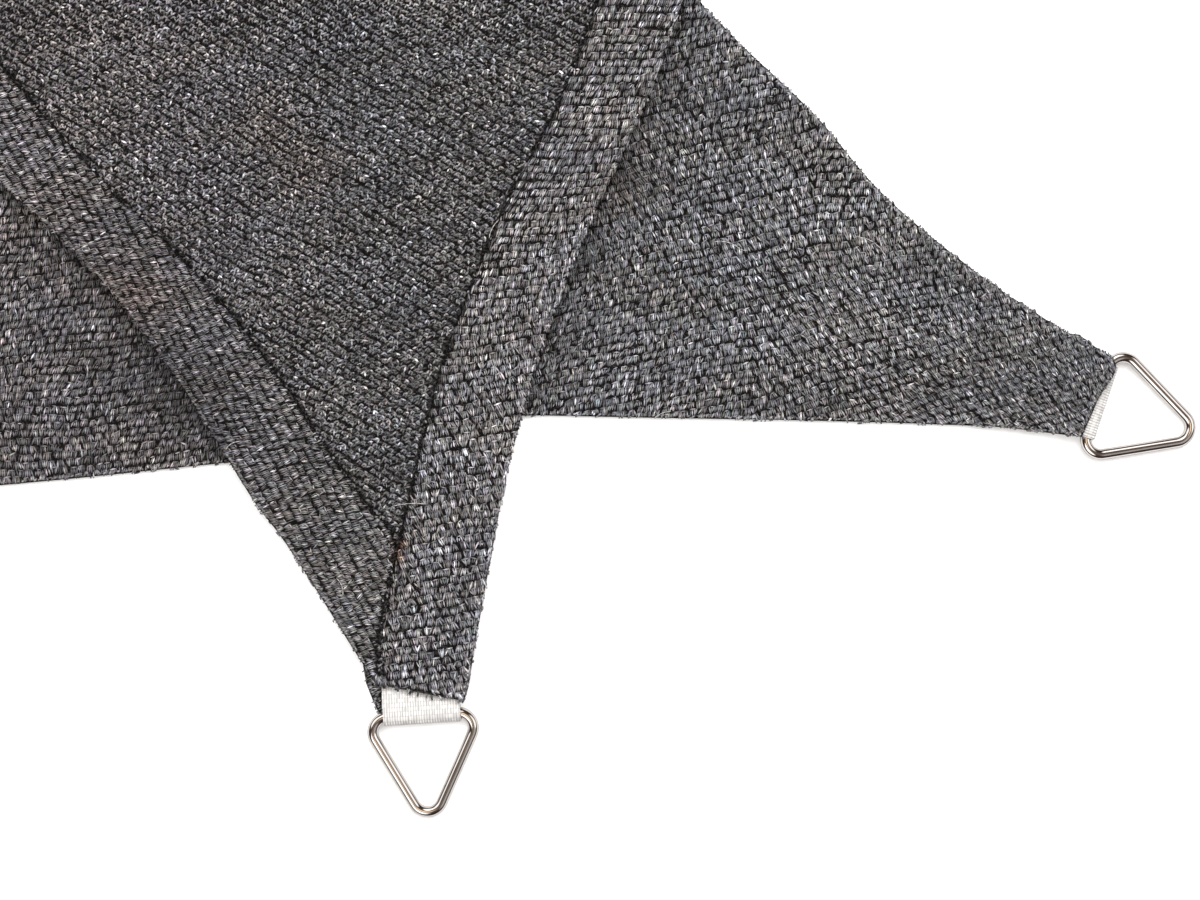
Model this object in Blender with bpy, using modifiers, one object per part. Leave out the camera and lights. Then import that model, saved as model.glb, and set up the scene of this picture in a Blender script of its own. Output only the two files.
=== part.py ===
"""Triangular shade sail of knitted cloth, folded for storage with one corner laid out.

The sail is one sheet. Its long lower edge lies along the front with a corner at each end.
From there the sheet runs to the back, is folded back and forth five times into a neat
stack, and the last layer comes forward again, wrong side up, to the third corner. Every
corner ends in a loop of webbing round a triangular steel ring.

Lengths are in millimetres until a mesh is made. X runs to the right along the lower edge,
Y away from the viewer and Z up, with the floor at Z = 0.
"""
import math

import bmesh
import bpy
import numpy as np
from mathutils import Matrix

MM = 0.001
NAME = "shade_sail"

# Cloth
CLOTH = 1.2  # one layer of knitted cloth
MOST_LAYERS = 3  # where one hem lies over another at a corner
HEM_STEP = 1.5  # length over which the cloth drops from hem to single layer
HEM_SPLITS = (0.0, 0.2, 0.45, 0.72, 1.0)  # columns across a side hem
PANEL_CELLS = 11  # columns across the single cloth between the side hems

# Folded stack
FACE_GAP = 0.8  # between hems lying right side to right side
BACK_GAP = 1.0  # between layers lying wrong side to wrong side
FOLD_STEPS = 6  # facets round one fold

# Webbing and rings
TAPE = 1.2  # thickness of the webbing
TAPE_HALF = 17.5  # half its width
TAPE_TUCK = 24.0  # length behind the bar, tucked under the cloth's end
TAPE_MEET = 16.0  # where the loop's upper layer comes down to the lower one
TAPE_GAP = 0.3  # between the two layers behind that
WIRE_R = 2.5
WIRE_ROOM = 0.6  # between the ring's wire and the loop round it
BEND_R = 7.0  # of the wire's centreline at each corner of the ring
BAR_HALF = 15.8  # half the straight bar in the loop
RING_REACH = 30.3  # from the bar's bends to the bend at the point
ARC_STEPS = 10  # facets round one bend of the ring

LOOP_R = WIRE_R + WIRE_ROOM + TAPE  # outside radius of the webbing round the bar
BAR_Z = LOOP_R  # the loop rests on the floor

# Each corner: where the middle of its ring's bar lies, and which way the ring points.
CORNERS = {
    "front": {"bar": (-80.6, -119.9), "points_to": -86.3},
    "right": {"bar": (225.4, 22.2), "points_to": -18.5},
    "left": {"bar": (-600.0, -62.0), "points_to": 208.5},
}

# The cloth's height over a corner's webbing, by distance behind the bar.
OVER_TAPE = {
    "behind": (-4.0, TAPE_MEET, 34.0, 58.0),
    "height": (2 * LOOP_R + 2.2, 3.3, 3.3, 0.0),
}

# The sail's lower edge, from the left corner to the right one: x, y.
LOWER_EDGE = (
    (-586.0, -75.5),
    (-500.0, -53.0),
    (-400.0, -33.5),
    (-300.0, -18.6),
    (-236.4, -12.7),
    (-167.3, -5.5),
    (-100.0, 7.5),
    (-35.5, 15.9),
    (29.5, 14.5),
    (86.4, 13.6),
    (136.4, 12.3),
    (181.8, 10.5),
    (217.7, 5.9),
)

# Bottom layer, a row for each section across it, from the lower edge to the stack.
# follow: share of the lower edge's curve. rise: extra height of the section's middle.
SECTION = ("left_x", "left_y", "right_x", "right_y", "left_hem", "right_hem", "follow", "rise", "under")
BACK_LAYER = (
    (-586.0, -75.5, 217.7, 5.9, 60, 60, 1.00, 0, 0),
    (-594.7, -59.2, 225.0, 23.0, 60, 60, 1.00, 21, 0),
    (-603.4, -42.9, 232.3, 40.0, 60, 60, 0.90, 30, 0),
    (-575.0, -8.0, 208.6, 55.0, 50, 58, 0.75, 35, 0),
    (-540.0, 45.0, 170.5, 80.9, 46, 56, 0.60, 33, 0),
    (-495.0, 113.0, 128.6, 115.9, 46, 54, 0.40, 25, 0),
    (-455.0, 170.0, 97.3, 152.3, 46, 52, 0.20, 15, 0),
    (-420.0, 220.0, 59.1, 189.1, 44, 50, 0.10, 8, 0),
    (-404.0, 255.0, 43.0, 212.0, 40, 44, 0.00, 3, 0),
    (-400.0, 290.0, 48.0, 262.0, 38, 38, 0.00, 0, 0),
)
BACK_HEM_ROW = 1  # the lower edge's hem ends on this section

# Front layer, wrong side up, from the stack to the front corner.
FRONT_LAYER = (
    (-398.0, 280.0, 50.0, 280.0, 38, 38, 0, 0, 16.5),
    (-394.0, 256.0, 49.0, 256.0, 42, 38, 0, 0, 14.6),
    (-380.0, 231.0, 45.0, 231.0, 54, 38, 0, 0, 8.0),
    (-356.0, 204.5, 38.2, 204.5, 60, 38, 0, 0, 5.0),
    (-315.0, 160.0, 21.6, 160.0, 56, 38, 0, 0, 4.6),
    (-270.0, 120.0, 3.4, 120.0, 47, 41, 0, 0, 4.6),
    (-228.7, 80.0, -14.0, 80.0, 46, 41, 0, 0, 4.6),
    (-197.0, 40.0, -28.2, 40.0, 47, 42, 0, 0, 4.6),
    (-171.0, 0.0, -39.5, 0.0, 48, 41, 0, 0, 4.6),
    (-156.0, -24.0, -44.8, -24.0, 50, 41, 0, 0, 3.4),
    (-142.0, -43.0, -48.4, -43.0, 49, 42, 0, 0, 1.4),
    (-118.2, -80.0, -55.3, -80.0, 19, 42, 0, 0, 0.0),
    (-106.0, -99.0, -59.0, -103.0, 5, 39, 0, 0, 0.0),
    (-101.5, -105.0, -61.4, -112.3, 2, 36, 0, 0, 0.0),
)
OVERLAP_Y = -48.0  # nearer the front corner than this, the right hem lies over the left one

# The stack's folds in turn: how far each reaches, and how far its layer is shifted sideways.
FOLDS = (
    {"y": 530.0, "shift": 0.0},
    {"y": 263.0, "shift": 3.0},
    {"y": 527.0, "shift": -2.0},
    {"y": 266.0, "shift": 2.0},
    {"y": 531.0, "shift": 1.0},
)
STACK_LEFT = -400.0
STACK_RIGHT = 50.0

COLOURS = {
    "cloth": {"colour": (0.09, 0.09, 0.095, 1.0), "metallic": 0.0, "roughness": 0.85},
    "webbing": {"colour": (0.85, 0.86, 0.87, 1.0), "metallic": 0.0, "roughness": 0.8},
    "ring": {"colour": (0.62, 0.6, 0.57, 1.0), "metallic": 1.0, "roughness": 0.2},
}


def finish(name):
    """One of the sail's three materials, made once."""
    material = bpy.data.materials.get(name)
    if material is None:
        material = bpy.data.materials.new(name)
        material.use_nodes = True
        shader = material.node_tree.nodes["Principled BSDF"]
        shader.inputs["Base Color"].default_value = COLOURS[name]["colour"]
        shader.inputs["Metallic"].default_value = COLOURS[name]["metallic"]
        shader.inputs["Roughness"].default_value = COLOURS[name]["roughness"]
    return material


def add_part(name, data, parts, slot):
    """Put an object with this data into the sail's collection."""
    data.materials.append(finish(slot))
    part = bpy.data.objects.new(name, data)
    parts.objects.link(part)
    return part


def grid_mesh(name, points):
    """A mesh of quads through a grid of points, rows by columns by xyz."""
    rows, columns = points.shape[:2]
    shape = bmesh.new()
    bmesh.ops.create_grid(shape, x_segments=columns - 1, y_segments=rows - 1, size=1.0)
    for vertex, place in zip(shape.verts, points.reshape(-1, 3) * MM):
        vertex.co = place
    mesh = bpy.data.meshes.new(name)
    shape.to_mesh(mesh)
    shape.free()
    return mesh


def between_sections(table, steps):
    """The table's rows with smooth curves run through them (Catmull-Rom), at the given steps."""
    rows = np.array(table, float)
    rows = np.vstack([2 * rows[0] - rows[1], rows, 2 * rows[-1] - rows[-2]])
    whole = np.minimum(np.floor(steps).astype(int), len(table) - 2)
    t = (np.asarray(steps) - whole)[:, None]
    a, b, c, d = (rows[whole + i] for i in range(4))
    curve = 2 * b + (c - a) * t + (2 * a - 5 * b + 4 * c - d) * t**2 + (3 * b - a - 3 * c + d) * t**3
    return [dict(zip(SECTION, row)) for row in curve / 2]


def corner_distance(corner, x, y):
    """How far behind a corner's bar a point lies, and how far to the side."""
    way = math.radians(CORNERS[corner]["points_to"])
    dx = x - CORNERS[corner]["bar"][0]
    dy = y - CORNERS[corner]["bar"][1]
    behind = -(dx * math.cos(way) + dy * math.sin(way))
    return behind, np.abs(dy * math.cos(way) - dx * math.sin(way))


def over_webbing(x, y, corners):
    """Height of the cloth's underside where it runs up over the webbing of these corners."""
    height = np.zeros_like(x)
    for corner in corners:
        behind, beside = corner_distance(corner, x, y)
        rise = np.interp(behind, OVER_TAPE["behind"], OVER_TAPE["height"])
        height = np.maximum(height, np.where(beside < 4 * TAPE_HALF, rise, 0.0))
    return height


def along_section(row):
    """Distances along a section, from its left edge, at which the cloth has a column."""
    length = math.hypot(row["right_x"] - row["left_x"], row["right_y"] - row["left_y"])
    splits = np.array(HEM_SPLITS)
    panel = length - row["left_hem"] - row["right_hem"]
    step = min(HEM_STEP, panel / 5)
    middle = np.linspace(row["left_hem"] + step, length - row["right_hem"] - step, PANEL_CELLS + 1)
    left = splits * row["left_hem"]
    right = length - splits[::-1] * row["right_hem"]
    return np.concatenate([left, middle, right]), length


def section_points(row):
    """Plan positions of a section's columns: a straight run from edge to edge, bowed with
    the lower edge by its follow and lifted in the middle by its rise."""
    along, length = along_section(row)
    share = along / length
    edge_x, edge_y = np.array(LOWER_EDGE).T
    run_x = edge_x[0] + share * (edge_x[-1] - edge_x[0])
    bow = np.interp(run_x, edge_x, edge_y) - (edge_y[0] + share * (edge_y[-1] - edge_y[0]))
    plateau = np.clip(np.minimum(share / 0.1, (1 - share) / 0.12), 0, 1)
    x = row["left_x"] + share * (row["right_x"] - row["left_x"])
    y = row["left_y"] + share * (row["right_y"] - row["left_y"])
    return x, y + row["follow"] * bow + row["rise"] * plateau


def hem_layers():
    """Layers of cloth in each column: two in the side hems, one between them."""
    hem = np.full(len(HEM_SPLITS), 2.0)
    return np.concatenate([hem, np.ones(PANEL_CELLS + 1), hem])


def uneven(x, y):
    """Slight waves of the cloth that lies loose, in height."""
    return 0.35 * (1 + np.sin(x / 43 + y / 71)) * (1 + np.sin(y / 37 - x / 90 + 1)) / 2


def back_layer():
    """Bottom layer: right side up, wrong side on the floor."""
    hem_rows = np.linspace(0, BACK_HEM_ROW, 4)
    rest = np.linspace(BACK_HEM_ROW, len(BACK_LAYER) - 1, 22)[1:]
    steps = np.concatenate([hem_rows, [BACK_HEM_ROW + 0.05], rest])
    for step, row in zip(steps, between_sections(BACK_LAYER, steps)):
        x, y = section_points(row)
        layers = hem_layers()
        if step <= BACK_HEM_ROW:
            layers[:] = 2
        yield x, y, over_webbing(x, y, ("left", "right")), layers


def stack_row(y, z, shift):
    """A straight section of the stack at one height of the wrong side."""
    row = {"left_x": STACK_LEFT + shift, "right_x": STACK_RIGHT + shift, "left_y": y, "right_y": y}
    row.update(left_hem=38.0, right_hem=38.0, follow=0.0, rise=0.0)
    x, y = section_points(row)
    return x, y, np.full_like(x, z), hem_layers()


def stack():
    """The folds and the straight layers between them. A back fold has the wrong side
    outside, on a half circle whose inside leaves the face gap. A front fold has it inside,
    on the half circle of the back gap."""
    back_r = 2 * CLOTH + FACE_GAP / 2
    front_r = BACK_GAP / 2
    z = 0.0
    for count, fold in enumerate(FOLDS):
        at_back = count % 2 == 0
        radius = back_r if at_back else front_r
        way = 1 if at_back else -1
        centre = fold["y"] - way * (radius if at_back else radius + 2 * CLOTH)
        for turn in np.linspace(-math.pi / 2, math.pi / 2, FOLD_STEPS + 1):
            y = centre + way * radius * math.cos(turn)
            yield stack_row(y, z + radius * (1 + math.sin(turn)), fold["shift"])
        z += 2 * radius
        if count + 1 < len(FOLDS):
            middle = (fold["y"] + FOLDS[count + 1]["y"]) / 2
            yield stack_row(middle, z, (fold["shift"] + FOLDS[count + 1]["shift"]) / 2)


def front_layer():
    """Top layer: wrong side up, down over the stack's front and the bottom layer."""
    steps = np.linspace(0, len(FRONT_LAYER) - 1, 3 * len(FRONT_LAYER) - 2)
    for row in between_sections(FRONT_LAYER, steps):
        x, y = section_points(row)
        under = np.maximum(row["under"], 0.0)
        loose = np.clip((under - 1) / 3, 0, 1)
        under = np.maximum(under + loose * uneven(x, y), over_webbing(x, y, ("front",)))
        layers = hem_layers()
        if row["left_y"] < OVERLAP_Y:
            hem = len(HEM_SPLITS)
            layers[hem:-hem] = 2
            layers[-hem:] = MOST_LAYERS
        yield x, y, under + layers * CLOTH, layers


def make_cloth(parts):
    """The whole sheet as its wrong side, thickened towards its right side."""
    rows = [*back_layer(), *stack(), *front_layer()]
    points = np.array([np.stack([x, y, z], axis=-1) for x, y, z, _ in rows])
    layers = np.array([count for *_, count in rows]).ravel()
    cloth = add_part("sail_cloth", grid_mesh("sail_cloth", points), parts, "cloth")
    group = cloth.vertex_groups.new(name="layers")
    for index, count in enumerate(layers):
        group.add([index], float(count) / MOST_LAYERS, "REPLACE")
    wall = cloth.modifiers.new("thickness", "SOLIDIFY")
    wall.thickness = MOST_LAYERS * CLOTH * MM
    wall.offset = 1.0
    wall.vertex_group = group.name


def corner_frame(corner, pitch=0.0):
    """Matrix from a corner's own frame, x the way its ring points, to the part's frame."""
    x, y = CORNERS[corner]["bar"]
    turn = Matrix.Rotation(math.radians(CORNERS[corner]["points_to"]), 4, "Z")
    return Matrix.Translation((x * MM, y * MM, BAR_Z * MM)) @ turn @ Matrix.Rotation(pitch, 4, "Y")


def tape_path():
    """Middle line of the webbing, seen from the side with the bar at the origin: along the
    floor, round the bar, and back down onto the lower layer."""
    radius = LOOP_R - TAPE / 2
    low = -radius
    high = low + TAPE + TAPE_GAP
    reach = math.hypot(TAPE_MEET, high)
    leave = math.atan2(high, -TAPE_MEET) % (2 * math.pi) - math.acos(radius / reach)
    turns = np.linspace(-math.pi / 2, leave, 15)
    round_bar = np.stack([radius * np.cos(turns), radius * np.sin(turns)], axis=-1)
    start = [(-TAPE_TUCK, low), (-TAPE_TUCK / 2, low)]
    end = [(-TAPE_MEET, high), (-TAPE_TUCK, high)]
    return np.vstack([start, round_bar, end])


def make_webbing(corner, parts):
    """A loop of flat webbing round the ring's bar."""
    path = tape_path()
    across = np.array([-TAPE_HALF, 0.0, TAPE_HALF])
    points = np.empty((len(path), len(across), 3))
    points[:, :, 0] = path[:, None, 0]
    points[:, :, 1] = across
    points[:, :, 2] = path[:, None, 1]
    name = f"webbing_{corner}"
    webbing = add_part(name, grid_mesh(name, points), parts, "webbing")
    webbing.matrix_world = corner_frame(corner)
    wall = webbing.modifiers.new("thickness", "SOLIDIFY")
    wall.thickness = TAPE * MM
    wall.offset = 0.0


def ring_path():
    """Centreline of the ring, its bar through the origin: bends of one radius about three
    centres, joined by straight runs."""
    slope = math.atan2(BAR_HALF, RING_REACH)
    centres = ((BEND_R, -BAR_HALF), (BEND_R + RING_REACH, 0.0), (BEND_R, BAR_HALF))
    starts = (math.pi, slope - math.pi / 2, math.pi / 2 - slope)
    ends = (1.5 * math.pi + slope, math.pi / 2 - slope, math.pi)
    bends = []
    for (x, y), start, end in zip(centres, starts, ends):
        turns = np.linspace(start, end, ARC_STEPS + 1)
        bends.append(np.stack([x + BEND_R * np.cos(turns), y + BEND_R * np.sin(turns)], axis=-1))
    return np.vstack(bends)


def make_ring(corner, parts):
    """A triangular ring of round steel wire, its point resting on the floor."""
    path = ring_path()
    name = f"ring_{corner}"
    curve = bpy.data.curves.new(name, "CURVE")
    curve.dimensions = "3D"
    curve.bevel_depth = WIRE_R * MM
    curve.bevel_resolution = 3
    spline = curve.splines.new("POLY")
    spline.points.add(len(path) - 1)
    for point, (x, y) in zip(spline.points, path):
        point.co = (x * MM, y * MM, 0.0, 1.0)
    spline.use_cyclic_u = True
    ring = add_part(name, curve, parts, "ring")
    length = RING_REACH + 2 * BEND_R
    ring.matrix_world = corner_frame(corner, math.asin((BAR_Z - WIRE_R) / length))


def centre_on_origin(parts):
    """Hang every part on an empty that puts the middle of the sail's base at the origin."""
    bpy.context.view_layer.update()
    shown = bpy.context.evaluated_depsgraph_get()
    corners = []
    for part in parts.objects:
        mesh = part.evaluated_get(shown).to_mesh()
        corners += [part.matrix_world @ vertex.co for vertex in mesh.vertices]
    places = np.array(corners)
    middle = (places.min(axis=0) + places.max(axis=0)) / 2
    origin = bpy.data.objects.new(f"{NAME}_origin", None)
    parts.objects.link(origin)
    origin.location = (-middle[0], -middle[1], -places[:, 2].min())
    for part in parts.objects:
        if part is not origin:
            part.parent = origin
    bpy.context.view_layer.update()
    print("origin moved by", [round(value / MM, 3) for value in origin.location])


def main():
    for item in list(bpy.data.objects):
        bpy.data.objects.remove(item)
    parts = bpy.data.collections.new(NAME)
    bpy.context.scene.collection.children.link(parts)
    make_cloth(parts)
    for corner in CORNERS:
        make_webbing(corner, parts)
        make_ring(corner, parts)
    centre_on_origin(parts)


main()
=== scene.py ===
# %% [markdown]
# # A folded shade sail, one corner laid out
#
# The real thing is a triangle of knitted plastic cloth with a turned-over hem on each side.
# A loop of white webbing is sewn into each corner and holds a triangular steel ring.
# Here it lies folded: the bottom layer shows its right side, and the top layer, which comes
# forward to the front corner, shows its wrong side between its hems.
#
# Shapes below are worked out in millimetres on a layout plane whose origin is the middle of
# the picture, X to the right and Y up the picture, and are moved to the frame at the end.

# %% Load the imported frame
import math

import bpy
import numpy as np
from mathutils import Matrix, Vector


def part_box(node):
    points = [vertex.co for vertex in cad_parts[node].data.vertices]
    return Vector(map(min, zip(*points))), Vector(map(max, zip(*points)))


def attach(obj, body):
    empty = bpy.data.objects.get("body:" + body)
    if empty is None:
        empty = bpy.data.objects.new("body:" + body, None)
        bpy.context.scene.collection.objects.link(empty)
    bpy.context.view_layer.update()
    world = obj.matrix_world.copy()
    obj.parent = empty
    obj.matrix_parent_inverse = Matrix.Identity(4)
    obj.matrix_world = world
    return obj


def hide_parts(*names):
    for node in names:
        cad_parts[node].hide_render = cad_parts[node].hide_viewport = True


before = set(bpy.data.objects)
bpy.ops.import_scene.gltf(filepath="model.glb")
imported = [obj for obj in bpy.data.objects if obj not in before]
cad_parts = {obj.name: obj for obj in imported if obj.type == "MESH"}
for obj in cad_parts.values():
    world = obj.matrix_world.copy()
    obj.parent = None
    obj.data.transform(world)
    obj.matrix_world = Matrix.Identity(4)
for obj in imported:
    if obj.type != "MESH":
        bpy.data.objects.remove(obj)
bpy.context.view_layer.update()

print("nodes:", sorted(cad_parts))

# %% [markdown]
# ## From the layout to the frame
#
# The webbing of the front corner is a plain rectangle seen from above, so the middle of its
# box in the frame is the middle of that rectangle. One such pair of points is enough to find
# how far the layout has to slide.

# %% Corners and the shift
MM = 0.001
RNG = np.random.default_rng(7)

CORNERS = {
    "front": {"bar": (-80.6, -119.9), "points_to": math.radians(-86.3)},
    "right": {"bar": (225.4, 22.2), "points_to": math.radians(-18.5)},
    "left": {"bar": (-600.0, -62.0), "points_to": math.radians(208.5)},
}
WEBBING_MIDDLE = 9.85  # of the webbing, behind its ring's bar


def way(corner):
    """Unit vector from a corner's bar towards the point of its ring."""
    turn = CORNERS[corner]["points_to"]
    return np.array([math.cos(turn), math.sin(turn)])


low, high = (np.array(corner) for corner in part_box("webbing_front"))
drawn = np.array(CORNERS["front"]["bar"]) - WEBBING_MIDDLE * way("front")
SHIFT = np.append((low + high)[:2] / 2 / MM - drawn, 0.0)
print("layout slides by", SHIFT.round(2), "mm")

# %% [markdown]
# ## Camera
#
# The picture looks straight down on the cloth. The whole picture is 545.5 mm wide at the
# cloth, which fixes the camera's height for a given lens.

# %% Camera
PICTURE_WIDTH = 545.5 * MM
LENS = 85.0
SENSOR = 36.0

camera = bpy.data.objects.new("camera", bpy.data.cameras.new("camera"))
bpy.context.collection.objects.link(camera)
camera.data.lens = LENS
camera.data.sensor_width = SENSOR
camera.location = (SHIFT[0] * MM, SHIFT[1] * MM, PICTURE_WIDTH * LENS / SENSOR)
bpy.context.scene.camera = camera
print("camera height", round(camera.location.z, 3), "m")

# %% [markdown]
# ## Nodes
#
# A sky or a finish is a small network of nodes, and the same steps make each of them: a new
# node, its settings, and a value or a link in each socket. Four helpers keep that short.

# %% Node helpers
def fill(node, sockets):
    """Give each of these sockets its value, or a link where that is another node's output."""
    for name, value in sockets.items():
        if isinstance(value, bpy.types.NodeSocket):
            node.id_data.links.new(value, node.inputs[name])
        else:
            node.inputs[name].default_value = value


def add_node(tree, kind, sockets, **settings):
    """A new node of this kind with these settings and sockets."""
    node = tree.nodes.new("ShaderNode" + kind)
    for name, value in settings.items():
        setattr(node, name, value)
    fill(node, sockets)
    return node


def add_ramp(place, stops):
    """Colour of a ramp read at this output. Each stop is a position and a colour."""
    ramp = add_node(place.id_data, "ValToRGB", {"Fac": place})
    elements = ramp.color_ramp.elements
    for element, (position, colour) in zip(elements, (stops[0], stops[-1])):
        element.position = position
        element.color = (*colour, 1)
    for position, colour in stops[1:-1]:
        elements.new(position).color = (*colour, 1)
    return ramp.outputs["Color"]


def new_material(name, finish):
    """A material, its node tree, and its Principled shader with these sockets."""
    material = bpy.data.materials.new(name)
    material.use_nodes = True
    shader = material.node_tree.nodes["Principled BSDF"]
    fill(shader, finish)
    return material, material.node_tree, shader


print("materials so far:", len(bpy.data.materials))

# %% [markdown]
# ## Light and floor
#
# The light is a bright studio: one large panel overhead, a little to the right, and a weaker
# one to the left. Polished wire would mirror the panels as blots, so they are hidden from
# mirrors. Wire mirrors the surround instead, which is dark with a warm spot overhead and a
# few soft windows, placed so that each side of the rings gets its bright and dark lines.

# %% Light and floor
SKY = (  # height of a direction, 1 straight up, and the surround's colour there
    (0.05, (0.62, 0.64, 0.68)), (0.13, (0.03, 0.024, 0.021)), (0.60, (0.06, 0.048, 0.042)),
    (0.90, (0.115, 0.083, 0.068)), (0.983, (0.24, 0.175, 0.14)), (0.993, (2.2, 1.60, 1.02)),
)
WINDOWS = (  # direction and brightness
    ((0.740, 0.198, 0.643), 1.9), ((-0.369, -0.526, 0.766), 2.6),
    ((-0.123, 0.696, 0.707), 2.6), ((-0.633, 0.366, 0.682), 1.9), ((0.56, -0.31, 0.77), 0.6),
)
WINDOW_EDGE = (0.92, 0.96)  # cosine of the way from a window's middle: none of it, all of it
FLOOR_SIZE, FLOOR_Z = 8, -0.0003

bpy.context.scene.view_settings.view_transform = "Standard"


def add_light(name, place, size, power):
    """A square soft panel, placed from the middle of the picture and turned to face it."""
    lamp = bpy.data.lights.new(name, "AREA")
    lamp.size = size
    lamp.energy = power
    panel = bpy.data.objects.new(name, lamp)
    bpy.context.collection.objects.link(panel)
    panel.location = Vector(place) + Vector(SHIFT * MM)
    panel.rotation_euler = Vector(place).to_track_quat("Z", "Y").to_euler()
    panel.visible_glossy = False


add_light("main_panel", (0.45, 0.75, 1.6), 1.3, 40)
add_light("fill_panel", (-0.95, 0.2, 1.5), 0.9, 11)

world = bpy.data.worlds.new("studio")
bpy.context.scene.world = world
world.use_nodes = True
studio = world.node_tree
direction = add_node(studio, "TexCoord", {}).outputs["Generated"]
upward = add_node(studio, "SeparateXYZ", {0: direction}).outputs["Z"]
surround = add_ramp(upward, SKY)
for middle, brightness in WINDOWS:
    facing = add_node(studio, "VectorMath", {0: direction, 1: middle}, operation="DOT_PRODUCT")
    window = add_node(studio, "MapRange", {
        "Value": facing.outputs["Value"], "From Min": WINDOW_EDGE[0], "From Max": WINDOW_EDGE[1],
        "To Max": brightness,
    })
    lit = add_node(studio, "VectorMath", {0: surround, 1: window.outputs["Result"]}, operation="ADD")
    surround = lit.outputs["Vector"]
fill(studio.nodes["Background"], {"Color": surround, "Strength": 1.0})

bpy.ops.mesh.primitive_plane_add(size=FLOOR_SIZE, location=(0, 0, FLOOR_Z))
floor = bpy.context.object
floor.name = "floor"
paper, _, _ = new_material("pale_floor", {
    "Base Color": (0.72, 0.72, 0.72, 1), "Roughness": 0.9, "Specular IOR Level": 0.1,
    "Emission Color": (1, 1, 1, 1), "Emission Strength": 0.25,
})
floor.data.materials.append(paper)
print("lights:", [lamp.name for lamp in bpy.data.lights])

# %% [markdown]
# ## The sheet's sections
#
# The cloth is one sheet, so it is one grid: a row for each section across the sheet and a
# column for each line along it. The tables list a few sections; smooth curves run through
# them give the rest. Each row has its two ends, how wide the hems are along it, how
# far it follows the lower edge's curve, how far its middle rises, and its underside's height.

# %% Tables of sections
CLOTH = 1.2  # one layer of knitted cloth
HEM_STEP = 1.0  # from the hem's edge to the level cloth beside it
GROOVE = 0.5  # depth of the crease along a hem's sewn edge

LOWER_EDGE = np.array([
    (-586.0, -75.5), (-500.0, -53.0), (-400.0, -33.5), (-300.0, -18.6), (-236.4, -12.7),
    (-167.3, -5.5), (-100.0, 7.5), (-35.5, 15.9), (29.5, 14.5), (86.4, 13.6),
    (136.4, 12.3), (181.8, 10.5), (217.7, 5.9),
])
# left x, left y, right x, right y, left hem, right hem, follow, rise, underside
BACK_LAYER = np.array([
    (-586.0, -75.5, 217.7, 5.9, 60, 60, 1.00, 0, 0),
    (-594.7, -59.2, 225.0, 23.0, 60, 60, 1.00, 21, 0),
    (-603.4, -42.9, 232.3, 40.0, 60, 60, 0.90, 30, 0),
    (-575.0, -8.0, 208.6, 55.0, 50, 58, 0.75, 35, 0),
    (-540.0, 45.0, 170.5, 80.9, 46, 56, 0.60, 33, 0),
    (-495.0, 113.0, 128.6, 115.9, 46, 54, 0.40, 25, 0),
    (-455.0, 170.0, 97.3, 152.3, 46, 52, 0.20, 15, 0),
    (-420.0, 220.0, 59.1, 189.1, 44, 50, 0.10, 8, 0),
    (-404.0, 255.0, 43.0, 212.0, 40, 44, 0.00, 3, 0),
    (-400.0, 290.0, 48.0, 262.0, 38, 38, 0.00, 0, 0),
])
BACK_HEM_ROW = 1
PICTURE_TOP, PICTURE_LEFT = 262.0, -345.0  # beyond these the knit is only drawn
FRONT_LAYER = np.array([
    (-398.0, 280.0, 50.0, 280.0, 38, 38, 0, 0, 16.5),
    (-394.0, 256.0, 49.0, 256.0, 42, 38, 0, 0, 14.6),
    (-380.0, 231.0, 45.0, 231.0, 54, 38, 0, 0, 8.0),
    (-356.0, 204.5, 38.2, 204.5, 60, 38, 0, 0, 5.0),
    (-315.0, 160.0, 21.6, 160.0, 56, 38, 0, 0, 4.6),
    (-270.0, 120.0, 3.4, 120.0, 47, 41, 0, 0, 4.6),
    (-228.7, 80.0, -14.0, 80.0, 46, 41, 0, 0, 4.6),
    (-197.0, 40.0, -28.2, 40.0, 47, 42, 0, 0, 4.6),
    (-171.0, 0.0, -39.5, 0.0, 48, 41, 0, 0, 4.6),
    (-156.0, -24.0, -44.8, -24.0, 50, 41, 0, 0, 3.4),
    (-142.0, -43.0, -48.4, -43.0, 49, 42, 0, 0, 1.4),
    (-118.2, -80.0, -55.3, -80.0, 19, 42, 0, 0, 0.0),
    (-106.0, -99.0, -59.0, -103.0, 5, 39, 0, 0, 0.0),
    (-101.5, -105.0, -61.4, -112.3, 2, 36, 0, 0, 0.0),
])
OVERLAP_Y = -48.0  # in front of this the right hem lies over the left one
# reach and sideways shift of each fold of the stack, in turn
FOLDS = np.array([(530.0, 0.0), (263.0, 3.0), (527.0, -2.0), (266.0, 2.0), (531.0, 1.0)])
STACK_SIDES = (-400.0, 50.0)
STACK_HEM = 38.0
BACK_R = 2.8  # half circle of a fold with the wrong side outside
FRONT_R = 0.5  # and of one with it inside
STACK_TOP = 16.4  # underside of the top layer where it leaves the stack
LOOSE_FROM = 280.0  # the top layer lies loose in front of this
OVER_TAPE = ((-4.0, 16.0, 34.0, 58.0), (10.8, 3.3, 3.3, 0.0))  # way behind the bar, rise
print(len(BACK_LAYER), "sections behind,", len(FRONT_LAYER), "in front,", len(FOLDS), "folds")

# %% [markdown]
# ## From sections to points
#
# A section is a straight run from edge to edge. Columns stand closer in the hems and beside
# the crease, because that is where the surface turns.

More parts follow.
